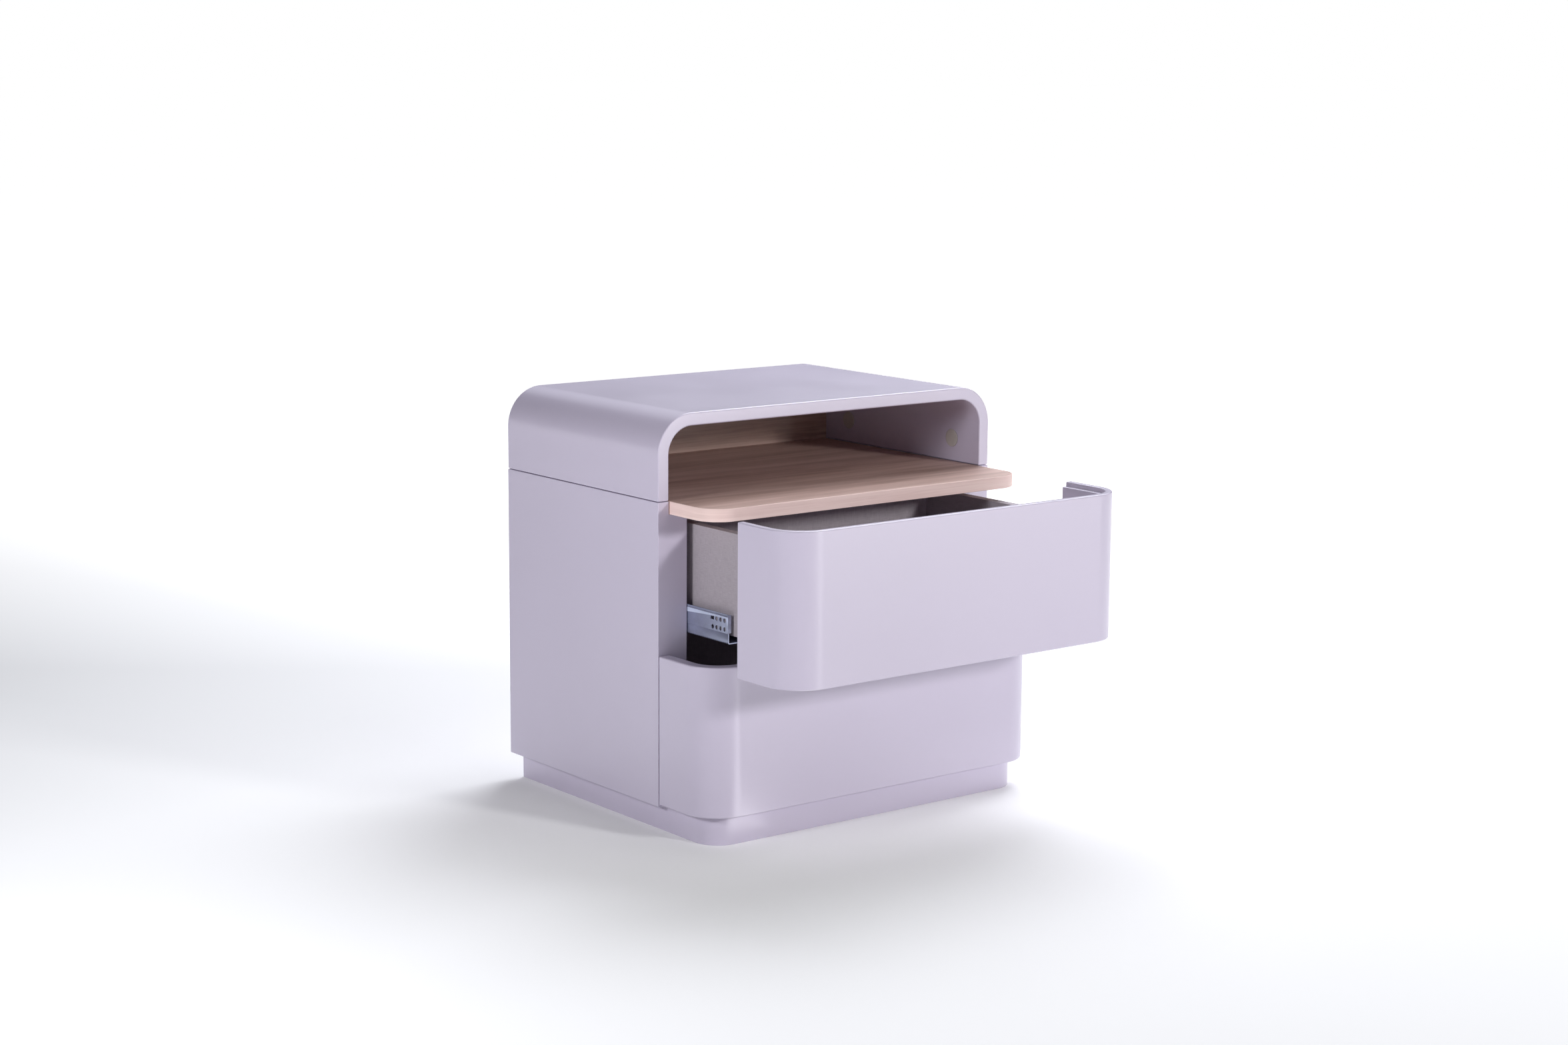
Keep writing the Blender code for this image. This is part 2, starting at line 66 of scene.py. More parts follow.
PANEL_EASE = 0.0008
BAND_EASE = 0.0006
LACQUER_EASE = 0.0017
LAMINATE_EASE = 0.0005
RAIL_EASE = 0.0003
SHARP_ANGLE = 40

# The fixed rail's section: each pair holds heights or distances from the wall, in the order bent.
RAIL_STEEL = 0.0012
RAIL_CREASE = 0.0005
RAIL_CREASE_DROPS = (0.0026, 0.0031)
RAIL_STEP = 0.0011
RAIL_STEP_HEIGHTS = (0.0126, 0.0118)
RAIL_BEND = 0.0016
RAIL_TRACK = 0.0294
RAIL_TRACK_HEIGHT = 0.0100
RAIL_FOLD = (0.0008, 0.0052)
RAIL_FOLD_FOOT = 0.0128
RAIL_FOLD_DROP = 0.0008
RAIL_NOSE = (0.0220, 0.0320)
RAIL_NOSE_LENGTH = 0.006
RAIL_NOSE_HEIGHT = 0.012
CUT_MARGIN = 0.002
RAIL_HOLE_RADIUS = 0.0025
RAIL_HOLE_PITCH = 0.0075
RAIL_HOLE_INSET = 0.0064
RAIL_HOLE_ROWS = ((0.0265, 3), (0.0164, 4))
RAIL_SLOT_INSET = 0.0295
RAIL_SLOT_LENGTH = 0.0064
RAIL_SLOT_HEIGHT = 0.0040
DRILL_LENGTH = 0.006

# A cover cap's rim, as inset and share of its thickness, then its low dome, as shares of both.
CAP_SIDES = 48
CAP_RIM = ((0.0, 0.0), (0.0, 0.45), (0.0004, 0.72), (0.0011, 0.84))
CAP_DOME = [(0.86 - 0.12 * step, 0.86 + 0.02 * step) for step in range(7)]

# --- Camera --------------------------------------------------------------------------------------

CAMERA_PLACE = Vector((-2.0538, -2.6455, 0.9005))
CAMERA_YAW = 38.029
CAMERA_PITCH = -9.747
CAMERA_ROLL = 0.4115
CAMERA_LENS = 64.10
CAMERA_SENSOR = 36.0
CAMERA_FAR = 200


def add_camera():
    """The photographer's view: from the front left, a little above the cabinet."""
    yaw, pitch, roll = (math.radians(a) for a in (CAMERA_YAW, CAMERA_PITCH, CAMERA_ROLL))
    ahead = Vector((math.sin(yaw) * math.cos(pitch), math.cos(yaw) * math.cos(pitch), math.sin(pitch)))
    level_right = Vector((math.cos(yaw), -math.sin(yaw), 0))
    level_up = level_right.cross(ahead)
    right = level_right * math.cos(roll) + level_up * math.sin(roll)
    up = level_up * math.cos(roll) - level_right * math.sin(roll)
    data = bpy.data.cameras.new("studio_camera")
    data.lens = CAMERA_LENS
    data.sensor_width = CAMERA_SENSOR
    data.clip_end = CAMERA_FAR
    camera = bpy.data.objects.new("studio_camera", data)
    turn = Matrix((right, up, -ahead)).transposed().to_4x4()
    camera.matrix_world = Matrix.Translation(CAMERA_PLACE) @ turn
    bpy.context.scene.collection.objects.link(camera)
    bpy.context.scene.camera = camera


# --- Light and floor -----------------------------------------------------------------------------

# Softboxes: place, what they face, width, height, power and colour.
SOFTBOXES = {
    "key_softbox": ((1.04, -3.77, 1.45), (0, -0.2, 0.3), 0.40, 0.40, 63, (1.0, 1.0, 1.0)),
    "left_softbox": ((-1.55, -0.372, 0.733), (0, -0.1, 0.35), 0.25, 0.25, 9.0, (0.99, 1.0, 1.04)),
    "right_softbox": ((1.25, 0.62, 2.06), (0.1, 0, 0.4), 1.7, 1.7, 62, (0.98, 1.0, 1.07)),
    "front_top_softbox": ((0.3, -2.0, 2.4), (0.1, 0, 0.4), 1.2, 1.2, 8, (1.0, 1.0, 1.0)),
    "back_softbox": ((0.6, 1.7, 1.6), (0.1, 0, 0.5), 1.2, 1.2, 2.6, (0.98, 1.0, 1.07)),
    "gloss_strip": ((0.95, -3.8, 0.45), (0, -0.2, 0.3), 0.12, 0.60, 26, (1.0, 1.0, 1.0)),
    "gloss_floor_strip": (
        (0.239, -1.55, 0.006), (0.2384, -1.5481, 1.0), 0.09, 2.76, 2.9, (1.0, 1.0, 1.0),
    ),
    "gloss_panel": ((2.08, -3.15, 0.30), (0, -0.2, 0.3), 1.2, 0.5, 17, (1.0, 1.0, 1.0)),
}

# These show only in reflections: they put the upright streaks and the bright top edge in the gloss.
GLOSS_ONLY = ("gloss_strip", "gloss_floor_strip", "gloss_panel")

# The surround is black but for a white band at the horizon. The floor glows softly, and fully where
# it runs out behind the cabinet and far off, which gives a white background without side light.
AMBIENT = 0.0
HORIZON_GLOW = 1.0
HORIZON_FADE = (0.022, 0.042)
FLOOR_RADIUS = 60
FLOOR_SIDES = 96
FLOOR_COLOUR = (0.9, 0.9, 0.9)
FLOOR_GLOW = 0.12
BACKDROP_GLOW = 1.0
BACKDROP_HEADING = Vector((0.616, 0.788, 0.0))
BACKDROP_START = (0.6, 2.6)
FAR_FLOOR_START = (3.8, 6.2)


def add_softbox(name, place, target, width, height, power, colour):
    """An area light that faces a target point; some show only in reflections."""
    data = bpy.data.lights.new(name, "AREA")
    data.shape = "RECTANGLE"
    data.size = width
    data.size_y = height
    data.energy = power
    data.color = colour
    lamp = bpy.data.objects.new(name, data)
    facing = (Vector(target) - Vector(place)).to_track_quat("-Z", "Y")
    lamp.matrix_world = Matrix.Translation(place) @ facing.to_matrix().to_4x4()
    lamp.visible_diffuse = name not in GLOSS_ONLY
    lamp.visible_camera = name not in GLOSS_ONLY
    bpy.context.scene.collection.objects.link(lamp)


def add_world():
    """A dark surround with a white band at the horizon, where the floor runs out."""
    world = bpy.data.worlds.new("studio_world")
    world.use_nodes = True
    tree = world.node_tree
    place = tree.nodes.new("ShaderNodeTexCoord")
    split = tree.nodes.new("ShaderNodeSeparateXYZ")
    height = tree.nodes.new("ShaderNodeMath")
    height.operation = "ABSOLUTE"
    fade = tree.nodes.new("ShaderNodeMapRange")
    for number, value in enumerate((*HORIZON_FADE, HORIZON_GLOW, AMBIENT)):
        fade.inputs[number + 1].default_value = value
    backdrop = tree.nodes["Background"]
    backdrop.inputs["Color"].default_value = (1.0, 1.0, 1.0, 1.0)
    tree.links.new(place.outputs["Generated"], split.inputs["Vector"])
    tree.links.new(split.outputs["Z"], height.inputs[0])
    tree.links.new(height.outputs[0], fade.inputs[0])
    tree.links.new(fade.outputs[0], backdrop.inputs["Strength"])
    bpy.context.scene.world = world


def add_studio():
    """The lights, the surround and a plain pale floor."""
    for name, settings in SOFTBOXES.items():
        add_softbox(name, *settings)
    add_world()
    bpy.context.scene.view_settings.view_transform = "Standard"
    shape = bmesh.new()
    bmesh.ops.create_circle(shape, cap_ends=True, radius=FLOOR_RADIUS, segments=FLOOR_SIDES)
    floor = add_object("studio_floor", shape)
    paint = Finish("studio_floor", FLOOR_COLOUR, 0.9, Specular_IOR_Level=0.0)
    paint.shader.inputs["Emission Color"].default_value = (1.0, 1.0, 1.0, 1.0)
    place = paint.node("ShaderNodeTexCoord").outputs["Object"]
    links = {0: place, 1: BACKDROP_HEADING}
    depth = paint.node("ShaderNodeVectorMath", links, operation="DOT_PRODUCT").outputs["Value"]
    reach = paint.node("ShaderNodeVectorMath", {0: place}, operation="LENGTH").outputs["Value"]
    behind = paint.spread(depth, *BACKDROP_START, FLOOR_GLOW, BACKDROP_GLOW)
    far = paint.spread(reach, *FAR_FLOOR_START, FLOOR_GLOW, BACKDROP_GLOW)
    paint.feed("Emission Strength", paint.sum(behind, far, "MAXIMUM"))
    floor.data.materials.append(paint.material)


# --- Finishes ------------------------------------------------------------------------------------


class Finish:
    """A Principled material with short ways to add nodes and feed its sockets."""

    def __init__(self, name, colour, roughness, metallic=0.0, **sockets):
        self.material = bpy.data.materials.new(name)
        self.material.use_nodes = True
        self.tree = self.material.node_tree
        self.shader = self.tree.nodes["Principled BSDF"]
        self.shader.inputs["Base Color"].default_value = (*colour, 1.0)
        self.shader.inputs["Roughness"].default_value = roughness
        self.shader.inputs["Metallic"].default_value = metallic
        for socket, value in sockets.items():
            self.shader.inputs[socket.replace("_", " ")].default_value = value

    def node(self, kind, links=None, **settings):
        """Add a node; links maps an input's name or number to a value or another node's output."""
        made = self.tree.nodes.new(kind)
        for setting, value in settings.items():
            setattr(made, setting, value)
        for socket, value in (links or {}).items():
            if isinstance(value, bpy.types.NodeSocket):
                self.tree.links.new(value, made.inputs[socket])
            else:
                made.inputs[socket].default_value = value
        return made

    def feed(self, socket, output):
        """Drive one of the shader's sockets."""
        self.tree.links.new(output, self.shader.inputs[socket])

    def stretched(self, scale):
        """Object coordinates scaled per axis."""
        coordinates = self.node("ShaderNodeTexCoord")
        links = {"Vector": coordinates.outputs["Object"], "Scale": scale}
        return self.node("ShaderNodeMapping", links).outputs["Vector"]

    def noise(self, scale, detail=3.0, roughness=0.5, distortion=0.0):
        """Noise over object coordinates; scale is cycles per metre on each axis."""
        links = {"Vector": self.stretched(scale), "Scale": 1.0, "Detail": detail, "Roughness": roughness}
        links["Distortion"] = distortion
        return self.node("ShaderNodeTexNoise", links).outputs["Fac"]

    def spread(self, value, low, high, out_low=0.0, out_high=1.0):
        """Map a range of a value to another range, clamped."""
        links = {0: value, 1: low, 2: high, 3: out_low, 4: out_high}
        return self.node("ShaderNodeMapRange", links).outputs[0]

    def ramp(self, value, stops):
        """Colours along a value, as (place, colour) stops."""
        made = self.node("ShaderNodeValToRGB", {"Fac": value})
        elements = made.color_ramp.elements
        while len(elements) < len(stops):
            elements.new(0.5)
        for element, (place, colour) in zip(elements, stops):
            element.position = place
            element.color = (*colour, 1.0)
        return made.outputs["Color"]

    def sum(self, first, second, operation="ADD"):
        """Add two values, or combine them by another operation."""
        return self.node("ShaderNodeMath", {0: first, 1: second}, operation=operation).outputs[0]

    def bump(self, height, depth, strength=1.0):
        """Raise the surface by depth metres where height is 1."""
        links = {"Height": height, "Distance": depth, "Strength": strength}
        self.feed("Normal", self.node("ShaderNodeBump", links).outputs["Normal"])


def lacquer():
    """Sprayed semi-gloss lacquer: a faint orange peel, a little mottling and a clear top film."""
    colour = (0.604, 0.549, 0.678)
    paint = Finish("lavender_lacquer", colour, 0.36, Coat_Weight=0.5, Coat_Roughness=0.25)
    drift = paint.noise((3, 3, 3), 2.0)
    deep = [channel * 0.985 for channel in colour]
    pale = [min(1.0, channel * 1.012) for channel in colour]
    paint.feed("Base Color", paint.ramp(drift, [(0.3, deep), (0.7, pale)]))
    paint.feed("Roughness", paint.spread(paint.noise((9, 9, 9), 3.0), 0.3, 0.7, 0.33, 0.39))
    paint.bump(paint.noise((260, 260, 260), 2.0), 0.00002, 0.35)
    return paint.material


def wood(name, dark, middle, pale, across=(1.0, 1.0), roughness=0.5):
    """Wood-grain laminate with its grain along X: broad figure, long streaks and fine pores.

    across holds how tightly the grain is packed along Y and Z. An edge band, whose grain follows it
    round the corners, has none of it along Y.
    """
    board = Finish(name, middle, roughness)
    tight_y, tight_z = across
    figure = board.noise((1.5, 1.5 + 22 * tight_y, 1.5 + 22 * tight_z), 4.0, 0.55, 0.8)
    streaks = board.noise((4, 4 + 80 * tight_y, 4 + 80 * tight_z), 4.0, 0.6, 0.35)
    fine = board.noise((22, 22 + 560 * tight_y, 22 + 560 * tight_z), 3.0, 0.6)
    tone = board.sum(board.sum(figure, 0.34, "MULTIPLY"), board.sum(streaks, 0.46, "MULTIPLY"))
    tone = board.sum(tone, board.sum(fine, 0.20, "MULTIPLY"))
    board.feed("Base Color", board.ramp(tone, [(0.39, dark), (0.50, middle), (0.61, pale)]))
    board.feed("Roughness", board.spread(fine, 0.3, 0.7, roughness - 0.05, roughness + 0.08))
    board.bump(board.sum(streaks, fine), 0.00005, 0.4)
    return board.material


def linen(name, dark, pale):
    """Linen-texture laminate: two crossed sets of uneven threads, pressed into the face."""
    cloth = Finish(name, pale, 0.78)
    upright = cloth.noise((1500, 1500, 110), 1.0)
    level = cloth.noise((110, 110, 1500), 1.0)
    slubs = cloth.noise((190, 190, 1100), 2.0)
    patches = cloth.noise((40, 40, 40), 2.0)
    weave = cloth.sum(upright, level)
    threads = cloth.spread(weave, 0.6, 1.4)
    tone = cloth.sum(cloth.sum(threads, 0.60, "MULTIPLY"), cloth.sum(slubs, 0.28, "MULTIPLY"))
    tone = cloth.sum(tone, cloth.sum(patches, 0.12, "MULTIPLY"))
    cloth.feed("Base Color", cloth.ramp(tone, [(0.2, dark), (0.8, pale)]))
    cloth.feed("Roughness", cloth.spread(threads, 0.0, 1.0, 0.84, 0.70))
    cloth.bump(threads, 0.00006, 0.4)
    return cloth.material


def galvanised(name, colour, roughness):
    """Zinc-coated sheet: faint spangle, drawing lines along the rail and uneven gloss."""
    steel = Finish(name, colour, roughness, 0.85)
    links = {"Vector": steel.stretched((160, 160, 160)), "Scale": 1.0}
    spangle = steel.node("ShaderNodeTexVoronoi", links).outputs["Color"]
    grey = steel.node("ShaderNodeRGBToBW", {"Color": spangle}).outputs["Val"]
    cloud = steel.noise((60, 60, 60), 3.0)
    tone = steel.sum(steel.sum(grey, 0.25, "MULTIPLY"), steel.sum(cloud, 0.75, "MULTIPLY"))
    deep = [channel * 0.86 for channel in colour]
    steel.feed("Base Color", steel.ramp(tone, [(0.3, deep), (0.7, colour)]))
    drawn = steel.noise((900, 12, 900), 2.0)
    steel.feed("Roughness", steel.spread(drawn, 0.3, 0.7, roughness - 0.06, roughness + 0.08))
    steel.bump(drawn, 0.00002, 0.5)
    return steel.material


def plastic(name, colour, roughness):
    """Moulded plastic with a fine spark-eroded grain."""
    moulded = Finish(name, colour, roughness)
    grain = moulded.noise((1500, 1500, 1500), 2.0)
    deep = [channel * 0.93 for channel in colour]
    moulded.feed("Base Color", moulded.ramp(moulded.noise((60, 60, 60)), [(0.3, deep), (0.7, colour)]))
    moulded.feed("Roughness", moulded.spread(grain, 0.3, 0.7, roughness - 0.05, roughness + 0.05))
    moulded.bump(grain, 0.00003, 0.4)
    return moulded.material


# --- Mesh building -------------------------------------------------------------------------------


def add_object(name, shape):
    """Turn a finished shape into an object in the scene."""
    bmesh.ops.recalc_face_normals(shape, faces=shape.faces)
    mesh = bpy.data.meshes.new(name)
    shape.to_mesh(mesh)
    shape.free()
    piece = bpy.data.objects.new(name, mesh)
    bpy.context.scene.collection.objects.link(piece)
    return piece


def arc(centre_x, centre_y, radius, start, end, steps=ARC_STEPS):
    """Points along an arc, with its angles in degrees from +X."""
    angles = [math.radians(start + (end - start) * step / steps) for step in range(steps + 1)]
    return [(centre_x + radius * math.cos(a), centre_y + radius * math.sin(a)) for a in angles]


def round_front_path(half_width, front_y, back_y, radius):
    """The plan path from the back left, round two front corners, to the back right."""
    corner_x = half_width - radius
    corner_y = front_y + radius
    left = arc(-corner_x, corner_y, radius, 180, 270)
    right = arc(corner_x, corner_y, radius, 270, 360)
    return [(-half_width, back_y), *left, *right, (half_width, back_y)]


def prism_shape(outline, across, start, end):
    """Extrude an outline: one in X and Y runs along Z, one in X and Z runs along Y."""
    shape = bmesh.new()
    if across == "XY":
        corners = [shape.verts.new((x, y, start)) for x, y in outline]
        travel = (0, 0, end - start)
    else:
        corners = [shape.verts.new((x, start, z)) for x, z in outline]
        travel = (0, end - start, 0)
    face = shape.faces.new(corners)
    grown = bmesh.ops.extrude_face_region(shape, geom=[face])
    moved = [part for part in grown["geom"] if isinstance(part, bmesh.types.BMVert)]
    bmesh.ops.translate(shape, verts=moved, vec=travel)
    return shape


def ribbon_shape(loops):
    """Skin between matching loops of points: the section is closed, and its two ends are capped."""
    shape = bmesh.new()
    rows = [[shape.verts.new(point) for point in loop] for loop in loops]
    for first, second in zip(rows, rows[1:]):
        count = len(first)
        for number in range(count):
            after = (number + 1) % count
            shape.faces.new((first[number], first[after], second[after], second[number]))
    shape.faces.new(rows[0])
    shape.faces.new(rows[-1])
    return shape


def ease_edges(piece, width, segments=3):
    """Round the sharp edges and shade the rest smoothly."""
    bevel = piece.modifiers.new("eased_edges", "BEVEL")
    bevel.width = width
    bevel.segments = segments
    bevel.limit_method = "ANGLE"
    bevel.angle_limit = math.radians(SHARP_ANGLE)
    bevel.use_clamp_overlap = True
    piece.data.shade_smooth()
    weighted = piece.modifiers.new("even_normals", "WEIGHTED_NORMAL")
    weighted.keep_sharp = False
    weighted.weight = 100


def dress(piece, material, body, slot, *nodes):
    """Give a piece its finish, its body and the nodes that it stands for."""
    piece.data.materials.append(material)
    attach(piece, body)
    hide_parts(*nodes)


def strip_outline(path, thickness):
    """The outline of sheet metal that follows a path, with mitred bends."""
    points = [Vector(point) for point in path]
    runs = [(after - before).normalized() for before, after in zip(points, points[1:])]
    normals = [Vector((-run.y, run.x)) for run in runs]
    offsets = [normals[0]]
    offsets += [(a + b) / (1 + a.dot(b)) for a, b in zip(normals, normals[1:])]
    offsets.append(normals[-1])
    half = thickness / 2
    above = [tuple(point + offset * half) for point, offset in zip(points, offsets)]
    below = [tuple(point - offset * half) for point, offset in zip(points, offsets)]
    return above + below[::-1]


def block_shape(low, high):
    """A box between two corners, as a shape to join or cut with."""
    outline = [(low[0], low[1]), (high[0], low[1]), (high[0], high[1]), (low[0], high[1])]
    return prism_shape(outline, "XY", low[2], high[2])


def drill_shape(centre, radius, depth, sides=32):
    """A round bar along X, centred on a point."""
    points = arc(centre[1], centre[2], radius, 0, 360 - 360 / sides, sides - 1)
    shape = bmesh.new()
    loops = []
    for x in (centre[0] - depth / 2, centre[0] + depth / 2):
        loops.append([shape.verts.new((x, y, z)) for y, z in points])
    for number in range(sides):
        after = (number + 1) % sides
        shape.faces.new((loops[0][number], loops[0][after], loops[1][after], loops[1][number]))
    shape.faces.new(loops[0])
    shape.faces.new(loops[1])
    return shape


def combine(piece, shapes, operation):
    """Join shapes to a piece or cut them from it, and keep the result as its mesh."""
    tools = [add_object(f"{piece.name}_tool_{number}", shape) for number, shape in enumerate(shapes)]
    for tool in tools:
        boolean = piece.modifiers.new(tool.name, "BOOLEAN")
        boolean.operation = operation
        boolean.object = tool
    evaluated = piece.evaluated_get(bpy.context.evaluated_depsgraph_get())
    mesh = bpy.data.meshes.new_from_object(evaluated)
    piece.modifiers.clear()
    old = piece.data
    piece.data = mesh
    bpy.data.meshes.remove(old)
    for tool in tools:
        mesh = tool.data
        bpy.data.objects.remove(tool)
        bpy.data.meshes.remove(mesh)


def bent_section(path_outer, path_inner, low_z, high_z):
    """Four-cornered sections along a bent wall, one for each pair of outer and inner points."""
    loops = []
    for (ox, oy), (ix, iy) in zip(path_outer, path_inner):
        loops.append([(ox, oy, low_z), (ox, oy, high_z), (ix, iy, high_z), (ix, iy, low_z)])
    return loops


def board_from(node, material, body, slot):
    """A board with eased edges that fills a node's box."""
    low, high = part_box(node)
    outline = [(low.x, low.y), (high.x, low.y), (high.x, high.y), (low.x, high.y)]
    piece = add_object(f"{node}_finished", prism_shape(outline, "XY", low.z, high.z))
    ease_edges(piece, LAMINATE_EASE, 2)
    dress(piece, material, body, slot, node)


# --- Pieces --------------------------------------------------------------------------------------


def add_shell(material):
    """The arched top: one bent board with a softly eased front edge."""
    low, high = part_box("top_shell")
    half = high.x
    centre_x = half - SHELL_RADIUS
    centre_z = high.z - SHELL_RADIUS
    sections = []
    for radius, reach in ((SHELL_RADIUS, half), (SHELL_RADIUS - BOARD, half - BOARD)):
        path = [(reach, low.z)]
        path += arc(centre_x, centre_z, radius, 0, 90)
        path += arc(-centre_x, centre_z, radius, 90, 180)
        path.append((-reach, low.z))
        sections.append(path)
    loops = []
    for (ox, oz), (ix, iz) in zip(*sections):
        loops.append([(ox, low.y, oz), (ox, high.y, oz), (ix, high.y, iz), (ix, low.y, iz)])
    shell = add_object("arched_shell", ribbon_shape(loops))
    ease_edges(shell, LACQUER_EASE, 4)
    dress(shell, material, "carcass", "lacquer", "top_shell")


def add_side_panels(material):
    """The thick sides, rabbeted to take the shelf's edges and thinner beside the niche."""
    for side in ("left", "right"):
        low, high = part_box(f"{side}_side_panel")
        shelf_low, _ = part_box("shelf_board")
        sign = -1 if side == "left" else 1
        outer = low.x if sign < 0 else high.x
        inner = high.x if sign < 0 else low.x
        niche = outer - sign * BOARD
        outline = [(outer, low.z), (outer, high.z), (niche, high.z)]
        outline += [(niche, shelf_low.z), (inner, shelf_low.z), (inner, low.z)]
        panel = add_object(f"{side}_side", prism_shape(outline, "XZ", low.y, high.y))
        ease_edges(panel, PANEL_EASE)
        dress(panel, material, "carcass", "lacquer", f"{side}_side_panel")


def add_plinth(material):
    """The recessed skirt, bent round both front corners, and the two rails that brace it."""
    low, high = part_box("plinth_skirt")
    outer = round_front_path(high.x, low.y, high.y, PLINTH_RADIUS)
    inner = round_front_path(high.x - BOARD, low.y + BOARD, high.y, PLINTH_RADIUS - BOARD)
    skirt = add_object("plinth_skirt_finished", ribbon_shape(bent_section(outer, inner, low.z, high.z)))
    ease_edges(skirt, PANEL_EASE)
    dress(skirt, material, "carcass", "lacquer", "plinth_skirt")
    for node in ("plinth_back_rail", "plinth_cross_rail"):
        board_from(node, material, "carcass", "lacquer")


def add_drawer_front(level, material):
    """A front bent round both corners; the upper one is thinned along its top inside."""
    node = f"{level}_drawer_front"
    low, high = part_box(node)
    outer = round_front_path(high.x, low.y, high.y, FRONT_RADIUS)
    wall = [FRONT_WALL, LIP_WALL] if level == "upper" else [FRONT_WALL]
    paths = [round_front_path(high.x - w, low.y + w, high.y, FRONT_RADIUS - w) for w in wall]
    loops = []
    for number, (ox, oy) in enumerate(outer):
        ix, iy = paths[0][number]
        loop = [(ox, oy, low.z), (ox, oy, high.z)]
        if level == "upper":
            lx, ly = paths[1][number]
            ledge = high.z - LIP_DEPTH
            loop += [(lx, ly, high.z), (lx, ly, ledge), (ix, iy, ledge)]
        else:
            loop.append((ix, iy, high.z))
        loop.append((ix, iy, low.z))
        loops.append(loop)
    front = add_object(f"{level}_bent_front", ribbon_shape(loops))
    ease_edges(front, LACQUER_EASE, 4)
    dress(front, material, f"{level}_drawer", "lacquer", node)


def add_shelf(wood_material, band_material):
    """The shelf board and the paler band glued round its projecting front."""
    band_low, band_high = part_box("shelf_edge_band")
    board_low, board_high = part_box("shelf_board")
    outer = round_front_path(band_high.x, band_low.y, band_high.y, SHELF_RADIUS)
    radius = SHELF_RADIUS - EDGE_BAND
    half = band_high.x - EDGE_BAND
    inner = round_front_path(half, band_low.y + EDGE_BAND, band_high.y, radius)
    loops = bent_section(outer, inner, band_low.z, band_high.z)
    band = add_object("shelf_band", ribbon_shape(loops))
    ease_edges(band, BAND_EASE)
    dress(band, band_material, "carcass", "edge_band", "shelf_edge_band")
    plan = inner[:]
    plan += [(board_high.x, band_high.y), (board_high.x, board_high.y)]
    plan += [(board_low.x, board_high.y), (board_low.x, band_high.y)]
    shelf = add_object("shelf_top", prism_shape(plan, "XY", board_low.z, board_high.z))
    shelf.data.shade_flat()
    dress(shelf, wood_material, "carcass", "wood_laminate", "shelf_board")


def add_drawer_boxes(material):
    """The five boards of each drawer box."""
    names = ("left_side", "right_side", "back", "sub_front", "bottom")
    for level in ("upper", "lower"):
        for part in names:
            node = f"{level}_drawer_{part}"
            board_from(node, material, f"{level}_drawer", "linen_laminate")


def add_caps(material):
    """Low-domed push-in caps with a rounded rim."""
    for place in ("front", "rear"):
        for side in ("left", "right"):
            node = f"cam_cover_cap_{place}_{side}"
            low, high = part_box(node)
            centre = (low + high) / 2
            sign = -1 if side == "left" else 1
            wall_x = low.x if sign < 0 else high.x
            radius = (high.z - low.z) / 2
            thick = high.x - low.x
            rings = [(radius - inset, thick * share) for inset, share in CAP_RIM]
            rings += [(radius * reach, thick * share) for reach, share in CAP_DOME]
            loops = []
            for ring_radius, rise in rings:
                angles = [2 * math.pi * step / CAP_SIDES for step in range(CAP_SIDES)]
                x = wall_x - sign * rise
                loops.append(
                    [
                        (x, centre.y + ring_radius * math.cos(a), centre.z + ring_radius * math.sin(a))
                        for a in angles
                    ]
                )
            cap = add_object(f"cap_{place}_{side}", ribbon_shape(loops))
            cap.data.shade_smooth()
            cap.data.set_sharp_from_angle(angle=math.radians(50))
            dress(cap, material, "carcass", "cap_plastic", node)


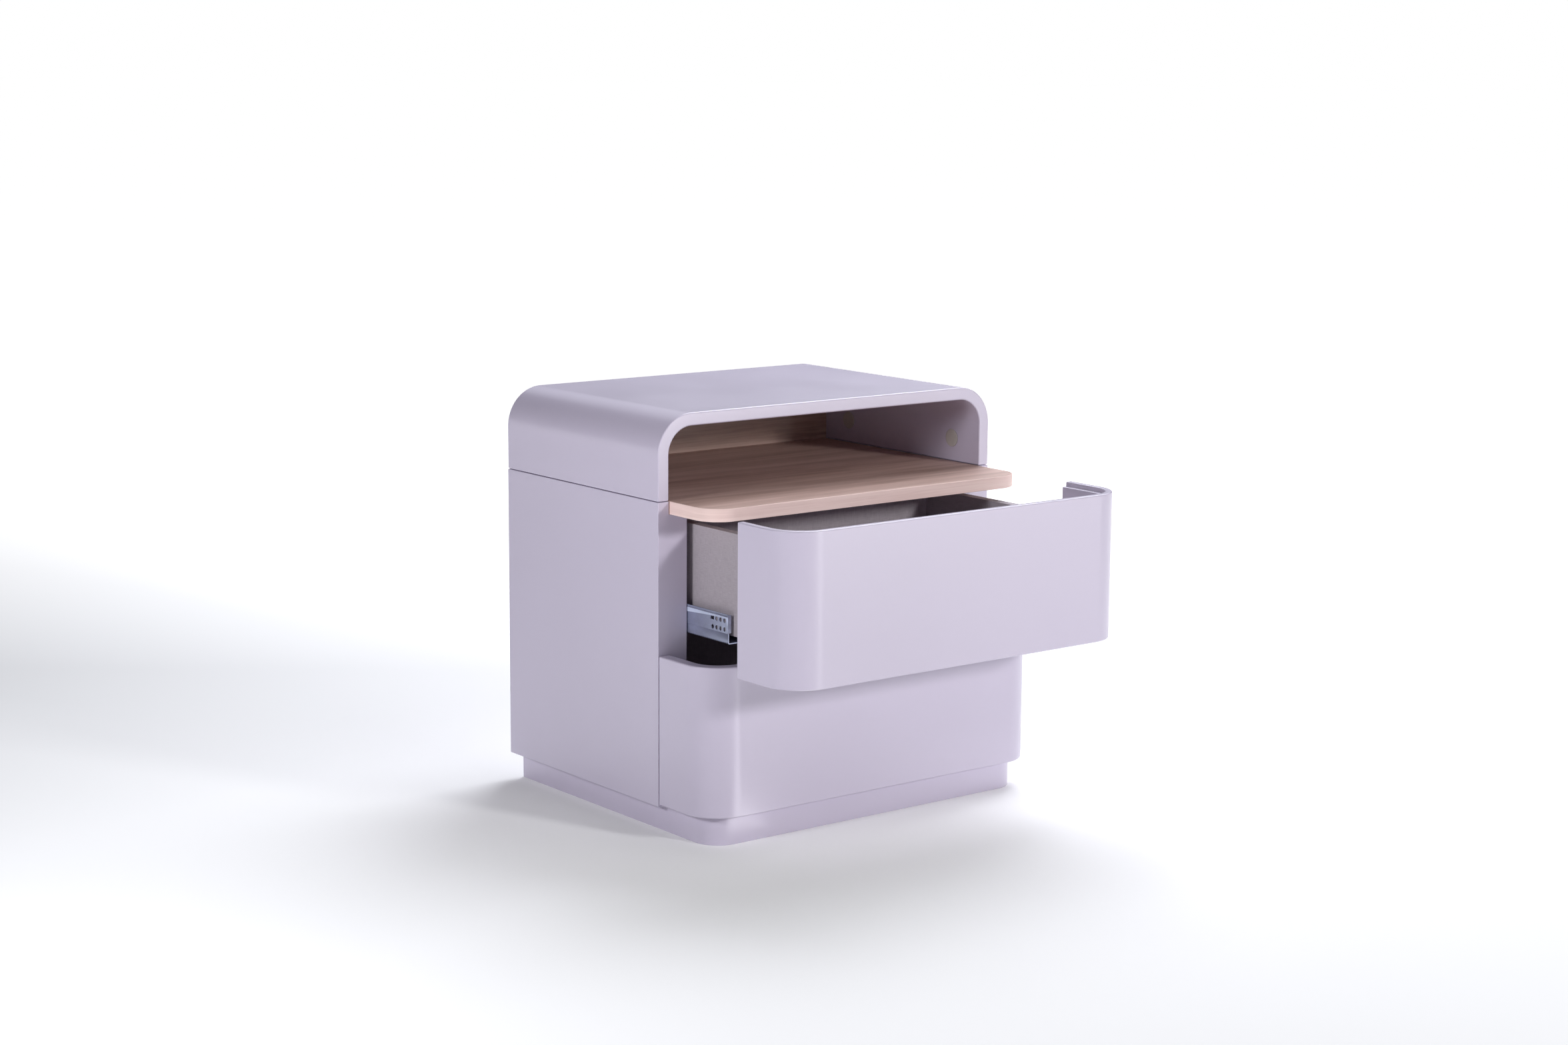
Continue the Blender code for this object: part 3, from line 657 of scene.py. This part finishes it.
def add_fixed_rail(level, side, material):
    """The fixed rail as bent: creased and stepped wall plate, foot, track, nose fold and holes."""
    node = f"{level}_{side}_fixed_rail"
    low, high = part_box(node)
    sign = -1 if side == "left" else 1
    wall = low.x if sign < 0 else high.x
    half = RAIL_STEEL / 2
    rise = high.z - low.z
    bend = RAIL_BEND
    path = [(half, rise), (half, rise - RAIL_CREASE_DROPS[0])]
    path.append((half + RAIL_CREASE, rise - RAIL_CREASE_DROPS[1]))
    path += [(half + RAIL_CREASE, RAIL_STEP_HEIGHTS[0]), (half + RAIL_STEP, RAIL_STEP_HEIGHTS[1])]
    path += arc(half + RAIL_STEP + bend, half + bend, bend, 180, 270, 6)
    path += arc(RAIL_TRACK - bend, half + bend, bend, 270, 360, 6)
    path.append((RAIL_TRACK, RAIL_TRACK_HEIGHT))
    placed = [(wall - sign * inward, low.z + up) for inward, up in path]
    section = strip_outline(placed, RAIL_STEEL)
    rail = add_object(f"{node}_bent", prism_shape(section, "XZ", low.y, high.y))
    fold = [wall - sign * inward for inward in RAIL_FOLD]
    fold_low = (min(fold), low.y, low.z + RAIL_FOLD_FOOT)
    fold_high = (max(fold), low.y + RAIL_STEEL, high.z - RAIL_FOLD_DROP)
    combine(rail, [block_shape(fold_low, fold_high)], "UNION")
    cuts = []
    for height, count in RAIL_HOLE_ROWS:
        for hole in range(count):
            y = low.y + RAIL_HOLE_INSET + hole * RAIL_HOLE_PITCH
            cuts.append(drill_shape((wall, y, low.z + height), RAIL_HOLE_RADIUS, DRILL_LENGTH))
    slot_y = low.y + RAIL_SLOT_INSET
    slot_z = low.z + RAIL_HOLE_ROWS[0][0]
    reach = (DRILL_LENGTH / 2, RAIL_SLOT_LENGTH / 2, RAIL_SLOT_HEIGHT / 2)
    middle = Vector((wall, slot_y, slot_z))
    cuts.append(block_shape(middle - Vector(reach), middle + Vector(reach)))
    nose = [wall - sign * inward for inward in RAIL_NOSE]
    nose_low = (min(nose), low.y - CUT_MARGIN, low.z - CUT_MARGIN)
    nose_high = (max(nose), low.y + RAIL_NOSE_LENGTH, low.z + RAIL_NOSE_HEIGHT)
    cuts.append(block_shape(nose_low, nose_high))
    combine(rail, cuts, "DIFFERENCE")
    ease_edges(rail, RAIL_EASE, 2)
    dress(rail, material, "carcass", "galvanised_slides", node)


def add_niche_back(material):
    """The wood-grain panel behind the niche, rounded to fit inside the arched top."""
    low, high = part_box("niche_back_panel")
    radius = SHELL_RADIUS - BOARD
    outline = [(high.x, low.z)]
    outline += arc(high.x - radius, high.z - radius, radius, 0, 90)
    outline += arc(low.x + radius, high.z - radius, radius, 90, 180)
    outline.append((low.x, low.z))
    panel = add_object("niche_back", prism_shape(outline, "XZ", low.y, high.y))
    panel.data.shade_flat()
    dress(panel, material, "carcass", "wood_laminate", "niche_back_panel")


def add_base_board(material):
    """The bottom board, whose rounded front nests inside the lower drawer front."""
    low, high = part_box("base_board")
    side_low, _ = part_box("right_side_panel")
    wings = side_low.y - WING_GAP
    inner = side_low.x - TOUCH
    plan = round_front_path(high.x, low.y, wings, SHELF_RADIUS)
    plan += [(inner, wings), (inner, high.y), (-inner, high.y), (-inner, wings)]
    base = add_object("base_board_finished", prism_shape(plan, "XY", low.z, high.z))
    ease_edges(base, LAMINATE_EASE, 2)
    dress(base, material, "carcass", "lacquer", "base_board")


def paint_carried_nodes(finishes):
    """CAD nodes whose own shape is right get a finish only."""
    for name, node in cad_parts.items():
        if node.hide_render:
            continue
        for key, material in finishes:
            if key in name:
                node.data.materials.clear()
                node.data.materials.append(material)
                break


def main():
    """Set up the studio, then build every piece with its finish."""
    add_camera()
    add_studio()
    lavender = lacquer()
    shelf_wood = wood("shelf_wood", (0.40, 0.255, 0.205), (0.535, 0.360, 0.305), (0.66, 0.465, 0.405))
    band_wood = wood("band_wood", (0.80, 0.59, 0.54), (0.91, 0.69, 0.64), (0.98, 0.78, 0.72), (0.0, 2.4))
    box_linen = linen("box_linen", (0.356, 0.316, 0.347), (0.451, 0.403, 0.441))
    zinc_steel = galvanised("rail_steel", (0.50, 0.54, 0.69), 0.42)
    fitting_zinc = galvanised("fitting_zinc", (0.55, 0.55, 0.55), 0.38)
    cap_plastic = plastic("cap_plastic", (0.56, 0.52, 0.49), 0.42)
    clip_plastic = plastic("clip_plastic", (0.20, 0.21, 0.23), 0.5)
    dowel_beech = wood("dowel_beech", (0.45, 0.30, 0.17), (0.58, 0.42, 0.26), (0.68, 0.52, 0.35))
    add_shell(lavender)
    add_side_panels(lavender)
    add_plinth(lavender)
    add_base_board(lavender)
    board_from("carcass_back_panel", lavender, "carcass", "lacquer")
    for level in ("upper", "lower"):
        add_drawer_front(level, lavender)
    add_shelf(shelf_wood, band_wood)
    add_drawer_boxes(box_linen)
    add_niche_back(shelf_wood)
    add_caps(cap_plastic)
    for level in ("upper", "lower"):
        for side in ("left", "right"):
            add_fixed_rail(level, side, zinc_steel)
    finishes = [
        ("_rail", zinc_steel),
        ("cam_", fitting_zinc),
        ("screw", fitting_zinc),
        ("clip", clip_plastic),
        ("dowel", dowel_beech),
    ]
    paint_carried_nodes(finishes)


main()
